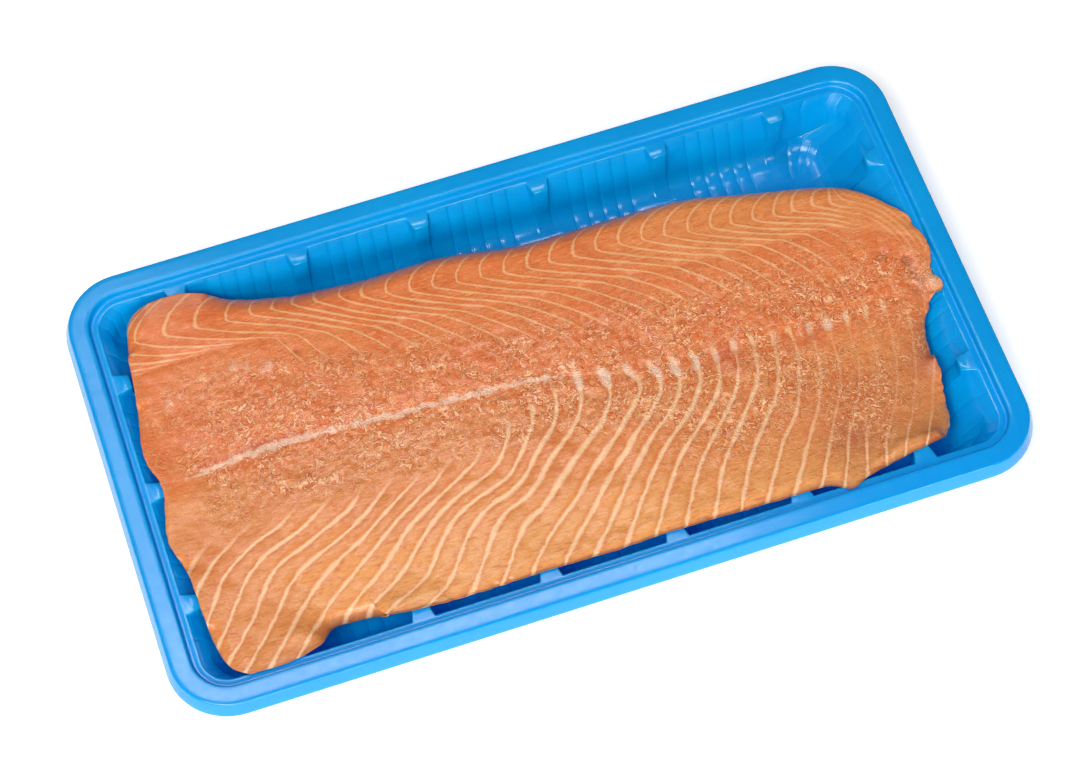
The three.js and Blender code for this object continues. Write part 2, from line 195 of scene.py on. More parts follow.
# ---- The photograph's viewpoint ----
CAMERA_PLACE = (-181.6, -614.4, 1217.3)  # mm from the tray's bottom centre
CAMERA_TURNS = (27.95, 1.22, -18.57)  # degrees about X, Y and Z
CAMERA_LENS = 104.4

# ---- Softboxes: name, place, aim (metres), width, depth, watts ----
LIGHTS = [
    ("key_softbox", (-1.12, -1.29, 2.49), (0, 0, 0), 1.5, 1.2, 66.0),
    ("low_softbox", (-0.5, -1.9, 0.9), (0, 0, 0), 1.2, 0.8, 20.0),
    ("front_softbox", (0.47, -1.2, 0.75), (0.1, 0, 0), 0.26, 0.8, 3.6),
    # These two are seen in the flange: one in its front stretch, one in its left stretch.
    ("flange_softbox", (0.02, 0.415, 1.23), (0.02, 0.415, 0), 0.57, 0.17, 2.4),
    ("left_softbox", (-0.19, 0.62, 1.23), (-0.19, 0.62, 0), 0.16, 0.42, 0.8),
]


# ================= Small helpers =================

def clamp01(value):
    return np.clip(value, 0.0, 1.0)


def fade(value, start, end):
    """0 before start, 1 after end, smooth between."""
    t = clamp01((value - start) / (end - start))
    return t * t * (3 - 2 * t)


def mix(a, b, t):
    return a + (b - a) * t


def height_on(line, x):
    """Height of a smooth line, given as (x, y) points, at x."""
    xs = np.array([p[0] for p in line], float)
    ys = np.array([p[1] for p in line], float)
    slopes = np.gradient(ys, xs)
    place = np.clip(np.searchsorted(xs, x) - 1, 0, len(xs) - 2)
    width = xs[place + 1] - xs[place]
    t = clamp01((x - xs[place]) / width)
    h00 = 2 * t ** 3 - 3 * t ** 2 + 1
    h10 = t ** 3 - 2 * t ** 2 + t
    h01 = -2 * t ** 3 + 3 * t ** 2
    h11 = t ** 3 - t ** 2
    return (h00 * ys[place] + h10 * width * slopes[place]
            + h01 * ys[place + 1] + h11 * width * slopes[place + 1])


def rough_field(points, pitch, seed, octaves=3):
    """Smooth random values of about -1 to 1 at points in mm, with features of that pitch."""
    offset = Vector((seed * 7.3, seed * 3.1, seed * 1.7))
    return np.array([
        noise.fractal(Vector(p) / pitch + offset, 1.0, 2.0, octaves) for p in points
    ])


def deselect_all():
    if bpy.context.object and bpy.context.object.mode != "OBJECT":
        bpy.ops.object.mode_set(mode="OBJECT")
    bpy.ops.object.select_all(action="DESELECT")


def finish_piece(piece, name, material, node_name):
    """Names a finished piece, gives it its material and ties it to the frame."""
    piece.name = name
    piece.data.name = name
    piece.data.materials.clear()
    piece.data.materials.append(material)
    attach(piece, "root")
    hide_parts(node_name)


# ================= Materials =================

class NodeBoard:
    """Adds shader nodes in a row and links them by value or by output."""

    def __init__(self, name):
        self.material = bpy.data.materials.new(name)
        self.material.use_nodes = True
        self.tree = self.material.node_tree
        self.tree.nodes.clear()
        self.column = 0

    def add(self, kind, settings=None, **inputs):
        node = self.tree.nodes.new(kind)
        node.location = (self.column * 180, 0)
        self.column += 1
        for key, value in (settings or {}).items():
            setattr(node, key, value)
        for key, value in inputs.items():
            self.feed(node.inputs[key.replace("_", " ")], value)
        return node

    def feed(self, socket, value):
        if isinstance(value, bpy.types.NodeSocket):
            self.tree.links.new(value, socket)
        elif isinstance(value, bpy.types.Node):
            self.tree.links.new(value.outputs[0], socket)
        else:
            socket.default_value = value

    def calc(self, operation, *values):
        """One step of arithmetic on values or outputs."""
        node = self.tree.nodes.new("ShaderNodeMath")
        node.operation = operation
        for socket, value in zip(node.inputs, values):
            self.feed(socket, value)
        return node.outputs[0]

    def ramp(self, value, start, end, low=0.0, high=1.0):
        """A smooth step from low to high as value goes from start to end."""
        node = self.tree.nodes.new("ShaderNodeMapRange")
        node.interpolation_type = "SMOOTHSTEP"
        for key, entry in (("Value", value), ("From Min", start), ("From Max", end),
                           ("To Min", low), ("To Max", high)):
            self.feed(node.inputs[key], entry)
        return node.outputs[0]

    def blend(self, amount, first, second):
        """Mixes two colours."""
        node = self.tree.nodes.new("ShaderNodeMix")
        node.data_type = "RGBA"
        self.feed(node.inputs[0], amount)
        self.feed(node.inputs[6], first)
        self.feed(node.inputs[7], second)
        return node.outputs[2]

    def attribute(self, name):
        node = self.tree.nodes.new("ShaderNodeAttribute")
        node.attribute_name = name
        return node.outputs["Fac"]

    def place(self, scale=(1000.0, 1000.0, 1000.0), turn=(0.0, 0.0, 0.0)):
        """Object coordinates in millimetres, stretched or turned."""
        coordinates = self.add("ShaderNodeTexCoord")
        mapping = self.add("ShaderNodeMapping", Scale=scale, Rotation=turn)
        self.feed(mapping.inputs["Vector"], coordinates.outputs["Object"])
        return mapping.outputs[0]

    def speckle(self, where, scale, detail=2.0, roughness=0.5, distortion=0.0):
        node = self.add("ShaderNodeTexNoise", Vector=where, Scale=scale, Detail=detail,
                        Roughness=roughness, Distortion=distortion)
        return node.outputs[0]

    def finish(self, shader):
        output = self.add("ShaderNodeOutputMaterial")
        self.tree.links.new(shader.outputs[0], output.inputs["Surface"])
        return self.material


def paint(red, green, blue):
    """A colour given in everyday 0 to 255 values, as the linear light Blender uses."""
    def linear(value):
        v = value / 255
        return v / 12.92 if v <= 0.04045 else ((v + 0.055) / 1.055) ** 2.4
    return (linear(red), linear(green), linear(blue), 1.0)


def tray_plastic():
    """Glossy blue sheet with the faint ripple and haze of a warm-formed moulding."""
    board = NodeBoard("blue_moulded_plastic")
    where = board.place()
    haze = board.speckle(where, 0.02, 3.0)
    ripple = board.speckle(where, 0.05, 1.0)
    pebble = board.speckle(where, 1.1, 2.0)
    tone = board.blend(board.ramp(haze, 0.35, 0.65),
                       paint(0, 149, 213), paint(2, 155, 219))
    shine = board.ramp(board.speckle(where, 0.3, 4.0), 0.3, 0.7, 0.13, 0.22)
    swell = board.add("ShaderNodeBump", Strength=0.3, Distance=0.0004, Height=ripple)
    grain = board.add("ShaderNodeBump", Strength=0.05, Distance=0.00005, Height=pebble,
                      Normal=swell.outputs[0])
    shader = board.add("ShaderNodeBsdfPrincipled", Base_Color=tone, Roughness=shine,
                       Normal=grain.outputs[0])
    shader.inputs["IOR"].default_value = 1.5
    shader.inputs["Subsurface Weight"].default_value = 0.5
    shader.inputs["Subsurface Radius"].default_value = (0.1, 0.8, 1.6)
    shader.inputs["Subsurface Scale"].default_value = 0.0025
    return board.finish(shader)


def flesh():
    """Raw salmon: orange muscle with cream fat lines, scraped patches and a wet gloss."""
    board = NodeBoard("salmon_flesh")
    where = board.place()
    count = board.attribute("line_count")
    pitch = board.attribute("line_pitch")
    width = board.attribute("line_width")
    strength = board.attribute("line_strength")
    middle = board.attribute("middle_mm")
    belly = board.attribute("belly")
    scraped = board.attribute("scraped")

    # The distance in millimetres to the nearest fat line, a little wavy.
    wave = board.calc("SUBTRACT", board.speckle(where, 0.09, 2.0), 0.5)
    jitter = board.calc("SUBTRACT", board.speckle(where, 0.7, 3.0, 0.6), 0.5)
    wavy = board.calc("MULTIPLY_ADD", wave, 0.2, count)
    wavy = board.calc("MULTIPLY_ADD", jitter, 0.12, wavy)
    past = board.calc("FRACT", board.calc("ADD", wavy, 0.5))
    away = board.calc("MULTIPLY", board.calc("ABSOLUTE", board.calc("SUBTRACT", past, 0.5)),
                     pitch)
    uneven = board.ramp(board.speckle(where, 0.13, 3.0), 0.3, 0.7, 0.6, 1.35)
    apart = board.calc("DIVIDE", away, board.calc("MULTIPLY", width, uneven))
    line = board.calc("MULTIPLY", board.ramp(apart, 0.3, 1.35, 1.0, 0.0), strength)
    line_side_shade = board.calc("MULTIPLY", board.ramp(apart, 1.2, 4.0, 1.0, 0.0), strength)

    # Muscle colour: orange loin, more golden belly, with redder and paler clouds.
    cloud = board.ramp(board.speckle(where, 0.035, 3.0), 0.33, 0.67)
    mottle = board.ramp(board.speckle(where, 0.16, 4.0, 0.6), 0.3, 0.7)
    loin_tone = board.blend(cloud, paint(222, 110, 50), paint(229, 124, 60))
    belly_tone = board.blend(cloud, paint(212, 122, 58), paint(220, 137, 70))
    muscle = board.blend(belly, loin_tone, belly_tone)
    muscle = board.blend(board.attribute("gold"), muscle, paint(232, 164, 92))
    muscle = board.blend(board.calc("MULTIPLY", mottle, 0.3), muscle, paint(226, 150, 100))
    # Painted shade: the muscle just beside each fat line is darkened.
    muscle = board.blend(board.calc("MULTIPLY", line_side_shade, 0.3), muscle, paint(208, 104, 48))
    fibre = board.speckle(board.place((210.0, 900.0, 1000.0)), 1.0, 4.0, 0.7, 0.8)
    muscle = board.blend(board.ramp(fibre, 0.5, 0.66, 0.0, 0.55), muscle,
                         paint(192, 92, 44))
    muscle = board.blend(board.ramp(fibre, 0.46, 0.34, 0.0, 0.4), muscle,
                         paint(240, 176, 118))
    # Brown flesh in places, and painted shade along the front edge.
    muscle = board.blend(board.attribute("brown_and_edge_shade"), muscle, paint(176, 96, 60))

    # Scraped patches: short squiggly ridges with a painted highlight along them and painted shade in the
    # hollows beside them, over redder flesh.
    worm = board.speckle(where, 0.3, 1.5, 0.5, 1.4)
    ridge_glint = board.ramp(board.calc("ABSOLUTE", board.calc("SUBTRACT", worm, 0.53)),
                      0.012, 0.06, 1.0, 0.0)
    hollow_shade = board.ramp(board.calc("ABSOLUTE", board.calc("SUBTRACT", worm, 0.45)),
                        0.012, 0.06, 1.0, 0.0)
    fleck = board.speckle(where, 0.4, 2.0, 0.5, 0.8)
    muscle = board.blend(board.calc("MULTIPLY", scraped, board.ramp(fleck, 0.5, 0.64, 0, 0.4)),
                         muscle, paint(208, 92, 42))
    muscle = board.blend(board.calc("MULTIPLY", scraped, board.ramp(fleck, 0.46, 0.36, 0, 0.4)),
                         muscle, paint(236, 160, 104))
    patch = board.ramp(board.speckle(where, 0.07, 3.0), 0.38, 0.6, 0.35, 1.0)
    rough = board.calc("MULTIPLY", scraped, patch)
    ridge_glint = board.calc("MULTIPLY", ridge_glint, rough)
    hollow_shade = board.calc("MULTIPLY", hollow_shade, rough)
    # Painted shade in the squiggles' hollows.
    muscle = board.blend(board.calc("MULTIPLY", hollow_shade, 0.65), muscle, paint(196, 80, 36))
    # Painted highlight along the squiggles' ridges.
    muscle = board.blend(board.calc("MULTIPLY", ridge_glint, 0.95), muscle, paint(248, 192, 142))

    cream = board.blend(belly, paint(238, 182, 128), paint(243, 194, 148))
    cream = board.blend(board.ramp(width, 1.3, 2.1), cream, paint(246, 210, 182))
    colour = board.blend(board.calc("MULTIPLY", line, 0.92), muscle, cream)
    colour = board.blend(board.attribute("rim_tone"), colour, paint(150, 102, 106))

    # The ragged white middle line and the dashes that carry it on.
    rag = board.calc("SUBTRACT", board.speckle(where, 0.28, 4.0, 0.7), 0.5)
    white_width = board.attribute("middle_width")
    ragged = board.calc("MULTIPLY_ADD", rag, 10.0, board.calc("ABSOLUTE", middle))
    white = board.ramp(board.calc("SUBTRACT", ragged, white_width), -1.1, 0.7, 1.0, 0.0)
    white = board.calc("MULTIPLY", white, board.ramp(white_width, 0.0, 0.3))
    colour = board.blend(board.calc("MULTIPLY", white, 0.75), colour, paint(244, 204, 176))
    colour = board.blend(board.attribute("red_bit"), colour, paint(186, 62, 44))
    colour = board.blend(board.attribute("pale_bit"), colour, paint(244, 206, 180))

    height = board.calc("MULTIPLY_ADD", board.calc("SUBTRACT", ridge_glint, hollow_shade), 0.9,
                       board.calc("MULTIPLY", fibre, 0.5))
    height = board.calc("MULTIPLY_ADD", board.speckle(where, 0.9, 3.0), 0.5, height)
    grain = board.add("ShaderNodeBump", Strength=0.6, Distance=0.0007, Height=height)
    shine = board.ramp(board.speckle(where, 0.25, 4.0), 0.3, 0.7, 0.24, 0.44)
    shader = board.add("ShaderNodeBsdfPrincipled", Base_Color=colour, Roughness=shine,
                       Normal=grain.outputs[0])
    shader.inputs["IOR"].default_value = 1.4
    shader.inputs["Subsurface Weight"].default_value = 0.1
    shader.inputs["Subsurface Radius"].default_value = (1.0, 0.35, 0.2)
    shader.inputs["Subsurface Scale"].default_value = 0.003
    shader.inputs["Coat Weight"].default_value = 0.35
    shader.inputs["Coat Roughness"].default_value = 0.18
    return board.finish(shader)


def table_top():
    board = NodeBoard("pale_table")
    where = board.place()
    tone = board.blend(board.ramp(board.speckle(where, 0.004, 2.0), 0.3, 0.7),
                       paint(250, 250, 250), paint(254, 254, 254))
    shader = board.add("ShaderNodeBsdfPrincipled", Base_Color=tone, Roughness=0.8)
    shader.inputs["Emission Color"].default_value = (1.0, 1.0, 1.0, 1.0)
    shader.inputs["Emission Strength"].default_value = 0.35
    return board.finish(shader)


# ================= The tray =================

def wall_lean(side):
    across = FOOT_INSET[side] - PANEL_INSET
    down = TRAY_HEIGHT - SHEET - FOOT_RADIUS - LEDGE_DROP
    return math.acos(FOOT_RADIUS / math.hypot(across, down)) - math.atan2(down, across)


def arc_points(centre, radius, first, last, steps):
    """Points on an arc, by angle in degrees from the +inset direction towards up."""
    angles = [math.radians(mix(first, last, i / steps)) for i in range(steps + 1)]
    return [(centre[0] + radius * math.cos(a), centre[1] + radius * math.sin(a))
            for a in angles]


def rim_profile():
    """Skirt, flange, riser and ledge as (inset from the ledge's inner edge, height)."""
    outer = -LEDGE_WIDTH - FLANGE_WIDTH
    inner = -LEDGE_WIDTH
    edge = 1.1
    return [
        (outer - SKIRT_FLARE, -SKIRT_DROP),
        (outer - SKIRT_FLARE + 0.15, -SKIRT_DROP + 0.8),
        (outer - 0.9, -3.4),
        *arc_points((outer + edge - 0.2, -edge), edge, 168, 90, 5),
        (outer + 2.6, 0.0),
        (inner - 2.2, 0.0),
        *arc_points((inner - 0.95, -1.0), 1.0, 90, 8, 4),
        (inner + 0.12, -2.1),
        *arc_points((inner + 0.95, -LEDGE_DROP - LEDGE_LEAN + 0.7), 0.7, 190, 270, 3),
        (inner + 1.9, -LEDGE_DROP - LEDGE_LEAN * 0.7),
        (-1.1, -LEDGE_DROP),
    ]


def wall_profiles(side):
    """Bay, groove and lug profiles from the ledge's inner edge down to the floor."""
    lean = wall_lean(side)
    floor = -TRAY_HEIGHT + SHEET
    reach = LUG_REACH - PANEL_INSET - COLUMN_PROUD / math.cos(lean)
    lug_depth = reach / (math.tan(lean) - LUG_DRAFT)

    def wall(depth):
        share = min(1.0, depth / PANEL_DEPTH)
        set_in = PANEL_INSET * math.sin(share * math.pi / 2)
        return (set_in + depth * math.tan(lean), -LEDGE_DROP - depth)

    wall_depths = [2.4, 4.5, mix(4.5, lug_depth, 0.35), mix(4.5, lug_depth, 0.7), lug_depth]
    bay = [(-0.35, -LEDGE_DROP), (-0.05, -LEDGE_DROP - 0.08), (0.06, -LEDGE_DROP - 0.35),
           wall(0.8), wall(1.5)]
    bay += [wall(d) for d in wall_depths]
    fall = LUG_TOP_FALL[side]
    lug = [(-0.45, -LEDGE_DROP), (0.1, -LEDGE_DROP - fall * 0.02),
           (LUG_REACH * 0.4, -LEDGE_DROP - fall * 0.4),
           (LUG_REACH - 0.4, -LEDGE_DROP - fall * 0.94),
           (LUG_REACH - 0.08, -LEDGE_DROP - fall - 0.1),
           (LUG_REACH, -LEDGE_DROP - fall - 0.45)]
    lug += [(LUG_REACH + LUG_DRAFT * d, -LEDGE_DROP - d) for d in wall_depths[1:]]
    groove_lean = (-math.cos(lean), -math.sin(lean))
    depths = [share * GROOVE_DEPTH[side] for share in (0.0, 0.2, 0.5, 0.8, 0.95)]
    depths += [GROOVE_DEPTH[side]] * 5
    groove = [(p[0] + groove_lean[0] * d, p[1] + groove_lean[1] * d)
              for p, d in zip(bay, depths)]

    first = math.degrees(lean)
    foot_angles = [math.radians(mix(first, 90, t)) for t in (0, 0.2, 0.4, 0.6, 0.8, 1.0)]
    for step, angle in enumerate(foot_angles):
        away = (-math.cos(angle), -math.sin(angle))
        proud = COLUMN_PROUD * math.cos(angle) / math.cos(lean)
        share = step / (len(foot_angles) - 1)
        deep = mix(GROOVE_DEPTH[side], 0.0, share)
        rise = mix(0.0, FOOT_RISE[side], share)
        for profile, radius in ((bay, FOOT_RADIUS - rise),
                                (lug, FOOT_RADIUS - max(proud, rise)),
                                (groove, FOOT_RADIUS + deep)):
            profile.append((FOOT_INSET[side] + away[0] * radius,
                            floor + FOOT_RADIUS + away[1] * radius))
    for run, rise in zip(FLOOR_RUN, (FOOT_RISE[side] * 0.7, 0.0, 0.0)):
        for profile, height in ((bay, rise), (lug, rise), (groove, 0.0)):
            profile.append((FOOT_INSET[side] + run, floor + height))
    return bay, groove, lug


def tray_levels():
    """For each kind of side, one profile array for bays, grooves and lugs."""
    rim = rim_profile()
    levels = {}
    for side in ("x", "y"):
        levels[side] = [np.array(rim + profile) for profile in wall_profiles(side)]
    return levels


GROOVE_CUT = ((-1.1, 0.0), (-0.75, 0.22), (-0.45, 0.85), (0.0, 1.0), (0.45, 0.85),
              (0.75, 0.22), (1.1, 0.0))  # place across a groove and how deep it is there


def side_stations(side):
    """Places along one side: (middle, at the root, at the tip, groove, lug)."""
    stations = []
    grooves = [middle + (i - (GROOVES_A_BAY - 1) / 2) * GROOVE_PITCH
               for middle in BAY_MIDDLES[side] for i in range(GROOVES_A_BAY)]
    grooves += [-END_GROOVES[side], END_GROOVES[side]]
    for middle in grooves:
        stations += [(middle, away, away, depth, 0.0) for away, depth in GROOVE_CUT]
    for middle in LUG_SPOTS[side]:
        for away, raised in ((0.5, 0.0), (0.12, 0.12), (-0.2, 0.9), (-0.65, 1.0)):
            for sign in (-1, 1):
                stations.append((middle, sign * (LUG_ROOT_HALF + away),
                                 sign * (LUG_TIP_HALF + away), 0.0, raised))
    return sorted(stations, key=lambda s: s[0] + s[1])


def corner_stations():
    """Turns round one corner in degrees, with the groove depth at each."""
    stations = [(turn, 0.0) for turn in (0.0, 8.0, 32.5, 57.5, 82.0, 90.0)]
    for middle in CORNER_GROOVES:
        stations += [(middle + away * 4.6, depth * 0.5) for away, depth in GROOVE_CUT]
    return sorted(stations)


def drawn_in(along, side, straight, full):
    """Draws a station in towards the middle where the corner below the rim comes in."""
    start = SQUEEZE_FROM[side]
    if abs(along) <= start:
        return along
    share = (abs(along) - start) / (full - start)
    return math.copysign(abs(along) - (full - straight) * share ** 2, along)


def ring_of_tray(levels, level):
    """All the points of the tray's face at one level, counter-clockwise from the right."""
    def corner_radius(inset, side):
        if inset < 0:
            return LEDGE_CORNER - inset
        foot = FOOT_INSET[side]
        tight = mix(LEDGE_CORNER, FLOOR_CORNER, min(1.0, inset / foot))
        return max(0.6, tight - max(0.0, inset - foot) * 0.92)

    def turned(side_number, out, along, height):
        spots = ((out, along), (-along, out), (-out, -along), (along, -out))
        return (*spots[side_number], height)

    points = []
    for number in range(4):
        side, other = ("x", "y") if number % 2 == 0 else ("y", "x")
        bay, groove, lug = (profile[level] for profile in levels[side])
        next_bay, next_groove, _ = (profile[level] for profile in levels[other])
        radius = (corner_radius(bay[0], side) + corner_radius(next_bay[0], other)) / 2
        straight = LEDGE_HALF[other] - next_bay[0] - radius
        full = LEDGE_HALF[other] - LEDGE_CORNER
        for middle, root, tip, groove_depth, raised in side_stations(side):
            spot = bay + (groove - bay) * groove_depth + (lug - bay) * raised
            taper = min(1.0, max(0.0, spot[0] / LUG_REACH))
            along = drawn_in(middle + mix(root, tip, taper), side, straight, full)
            points.append(turned(number, LEDGE_HALF[side] - spot[0], along, spot[1]))
        out = LEDGE_HALF[side] - bay[0] - radius
        along = straight
        for turn, groove_depth in corner_stations():
            share = turn / 90
            height = mix(bay[1], next_bay[1], share)
            deeper = mix(groove[1] - bay[1], next_groove[1] - next_bay[1], share)
            wider = mix(bay[0] - groove[0], next_bay[0] - next_groove[0], share)
            reach = radius + wider * groove_depth
            points.append(turned(number, out + reach * math.cos(math.radians(turn)),
                                 along + reach * math.sin(math.radians(turn)),
                                 height + deeper * groove_depth))
    return [Vector((x * MM, y * MM, (z + TRAY_HEIGHT) * MM)) for x, y, z in points]


def make_tray(material):
    """Draws the sheet's face ring by ring from the skirt to the floor, then thickens it."""
    levels = tray_levels()
    first_ring = ring_of_tray(levels, 0)
    deselect_all()
    bpy.ops.mesh.primitive_circle_add(vertices=len(first_ring), radius=1.0)
    tray = bpy.context.object
    bpy.ops.object.mode_set(mode="EDIT")
    form = bmesh.from_edit_mesh(tray.data)
    form.verts.ensure_lookup_table()
    for vert, place in zip(form.verts, first_ring):
        vert.co = place
    rank = {vert: i for i, vert in enumerate(form.verts)}
    bpy.ops.mesh.select_all(action="SELECT")
    level_count = len(levels["x"][0])
    for level in range(1, level_count):
        bpy.ops.mesh.extrude_edges_move()
        form = bmesh.from_edit_mesh(tray.data)
        ring = ring_of_tray(levels, level)
        fresh = [vert for vert in form.verts if vert.select]
        for vert in fresh:
            source = next(edge.other_vert(vert) for edge in vert.link_edges
                          if not edge.other_vert(vert).select)
            rank[vert] = rank[source]
        for vert in fresh:
            vert.co = ring[rank[vert]]
        bmesh.update_edit_mesh(tray.data)
    bpy.ops.mesh.edge_face_add()
    bpy.ops.mesh.select_all(action="SELECT")
    bpy.ops.mesh.remove_doubles(threshold=MERGE * MM)
    bpy.ops.mesh.normals_make_consistent(inside=False)
    bpy.ops.object.mode_set(mode="OBJECT")
    floor_face = max(tray.data.polygons, key=lambda face: face.area)
    if floor_face.normal.z < 0:
        tray.data.flip_normals()
    sheet = tray.modifiers.new("sheet", "SOLIDIFY")
    sheet.thickness = SHEET * MM
    sheet.offset = -1.0
    bpy.ops.object.modifier_apply(modifier="sheet")
    bpy.ops.object.shade_smooth_by_angle(angle=math.radians(40))
    finish_piece(tray, "blue_tray", material, "tray")
    return tray


# ================= The fillet =================

def inset_from_ledge(x, y):
    beyond_x = np.abs(x) - (LEDGE_HALF["x"] - LEDGE_CORNER)
    beyond_y = np.abs(y) - (LEDGE_HALF["y"] - LEDGE_CORNER)
    outside = np.hypot(np.maximum(beyond_x, 0), np.maximum(beyond_y, 0))
    return LEDGE_CORNER - outside - np.minimum(np.maximum(beyond_x, beyond_y), 0)


def hold_height(inset, hold, side):
    start = mix(BAY_HOLD["inset"], LUG_HOLD["inset"], hold)
    fall = mix(BAY_HOLD[side], LUG_HOLD[side], hold)
    return -LEDGE_DROP - np.maximum(0, inset - start) * fall


def lug_hold(along, spots):
    nearest = np.min([np.abs(along - spot) for spot in spots], axis=0)
    return 1 - clamp01((nearest - LUG_HOLD_HALF) / LUG_HOLD_FADE)


def rest_height(x, y):
    """Lowest height the flesh may have: on the floor, a wall, a lug or the ledge."""
    floor = np.full_like(x, -TRAY_HEIGHT + SHEET)
    return CLEARANCE + np.max([
        floor,
        hold_height(LEDGE_HALF["y"] - np.abs(y), lug_hold(x, LUG_SPOTS["y"]), "y"),
        hold_height(LEDGE_HALF["x"] - np.abs(x), lug_hold(y, LUG_SPOTS["x"]), "x"),
        hold_height(inset_from_ledge(x, y), 0.0, "x"),
    ], axis=0)


def smooth_value(values, t):
    """A smooth curve through evenly spaced values; each may itself be an array."""
    place = clamp01(t) * (len(values) - 1)
    first = np.minimum(np.floor(place).astype(int), len(values) - 2)
    f = place - first
    stack = np.asarray(values)

    def at(index):
        index = np.clip(index, 0, len(values) - 1)
        return stack[index] if stack.ndim == 1 else stack[index, np.arange(len(place))]

    a, b, c, d = at(first - 1), at(first), at(first + 1), at(first + 2)
    return b + 0.5 * f * (c - a + f * (2 * a - 5 * b + 4 * c - d
                                       + f * (3 * (b - c) + d - a)))


def edge_curve(points, fractions, ragged, seed, spread=0.0):
    """A smooth line through the points, at even fractions of its length, a little torn.

    Where a lug lifts the edge, it lies further out by that lift times spread.
    """
    knots = np.array(points, float)
    gaps = np.sqrt(np.linalg.norm(np.diff(knots, axis=0), axis=1))
    times = np.concatenate([[0], np.cumsum(gaps)])
    padded = np.vstack([2 * knots[0] - knots[1], knots, 2 * knots[-1] - knots[-2]])
    padded_times = np.concatenate([[-gaps[0]], times, [times[-1] + gaps[-1]]])
    dense = []
    for i in range(1, len(padded) - 2):
        p0, p1, p2, p3 = padded[i - 1:i + 3]
        t0, t1, t2, t3 = padded_times[i - 1:i + 3]
        t = np.linspace(t1, t2, 60, endpoint=False)[:, None]
        a1 = (t1 - t) / (t1 - t0) * p0 + (t - t0) / (t1 - t0) * p1
        a2 = (t2 - t) / (t2 - t1) * p1 + (t - t1) / (t2 - t1) * p2
        a3 = (t3 - t) / (t3 - t2) * p2 + (t - t2) / (t3 - t2) * p3
        b1 = (t2 - t) / (t2 - t0) * a1 + (t - t0) / (t2 - t0) * a2
        b2 = (t3 - t) / (t3 - t1) * a2 + (t - t1) / (t3 - t1) * a3
        dense.append((t2 - t) / (t2 - t1) * b1 + (t - t1) / (t2 - t1) * b2)
    dense = np.vstack([*dense, knots[-1:]])
    lengths = np.concatenate([[0], np.cumsum(np.linalg.norm(np.diff(dense, axis=0), axis=1))])
    wanted = fractions * lengths[-1]
    curve = np.column_stack([np.interp(wanted, lengths, dense[:, k]) for k in range(3)])
    step = np.gradient(curve[:, :2], axis=0)
    out = np.column_stack([step[:, 1], -step[:, 0]])
    out /= np.linalg.norm(out, axis=1)[:, None]
    still_ends = np.sin(np.pi * clamp01(fractions)) ** 0.3
    torn = np.clip(rough_field(curve, 3.5, seed, 4), -1, 1) * ragged * still_ends
    curve[:, :2] += out * torn[:, None]
    drawn = curve.copy()
    for _ in range(12):
        rest = rest_height(curve[:, 0], curve[:, 1]) + THIN_EDGE
        curve[:, 2] = mix(curve[:, 2], np.maximum(drawn[:, 2], rest), 0.5)
        lift = curve[:, 2] - drawn[:, 2]
        if spread:
            curve[:, 1] = drawn[:, 1] - spread * lift
    curve[:, 2] = np.maximum(curve[:, 2], rest_height(curve[:, 0], curve[:, 1]) + THIN_EDGE)
    return curve


def fractions_across(cells, round_start, round_end, span):
    """Cell edges: even turns through both edges' roundings, even steps between."""
    turns = np.arange(EDGE_CELLS + 1) / EDGE_CELLS * np.pi / 2
    start = (1 - np.cos(turns)) * round_start / span
    end = 1 - (1 - np.cos(turns)) * round_end / span
    middle = np.linspace(start[-1], end[-1], cells - 2 * EDGE_CELLS + 1)
    return np.concatenate([start[:-1], middle, end[::-1][1:]])


def between(curve, fractions, start, end):
    """Shifts a curve so that it runs from start to end."""
    share = fractions[:, None]
    return curve + (1 - share) * (start - curve[0]) + share * (end - curve[-1])


def soften(values, passes):
    """Averages a grid of values with their neighbours, many times over."""
    for _ in range(passes):
        for axis in (0, 1):
            values = np.moveaxis(values, axis, 0)
            inner = (values[:-2] + 2 * values[1:-1] + values[2:]) / 4
            values = np.concatenate([values[:1], inner, values[-1:]])
            values = np.moveaxis(values, 0, axis)
    return values


def rounded(distance, radius):
    left = 1 - clamp01(distance / radius)
    return np.sqrt(np.maximum(0, 1 - left * left))


def stretched_surface(u, v):
    """The surface stretched between the four edges: x, y and edge height."""
    front = edge_curve(EDGES["front"], u, 0.3, 1, spread=LIFT_SPREAD)
    back = edge_curve(EDGES["back"], u, 0.25, 2, spread=LIFT_SPREAD)
    left = edge_curve(EDGES["left"], v, 0.25, 3)
    right = edge_curve(EDGES["right"], v, 0.8, 4)
    left = between(left, v, front[0], back[0])
    right = between(right, v, front[-1], back[-1])
    grid_u, grid_v = np.meshgrid(u, v, indexing="ij")
    gu, gv = grid_u[..., None], grid_v[..., None]
    surface = ((1 - gv) * front[:, None] + gv * back[:, None]
               + (1 - gu) * left[None] + gu * right[None]
               - (1 - gu) * (1 - gv) * front[0] - gu * (1 - gv) * front[-1]
               - (1 - gu) * gv * back[0] - gu * gv * back[-1])
    return surface, grid_u, grid_v


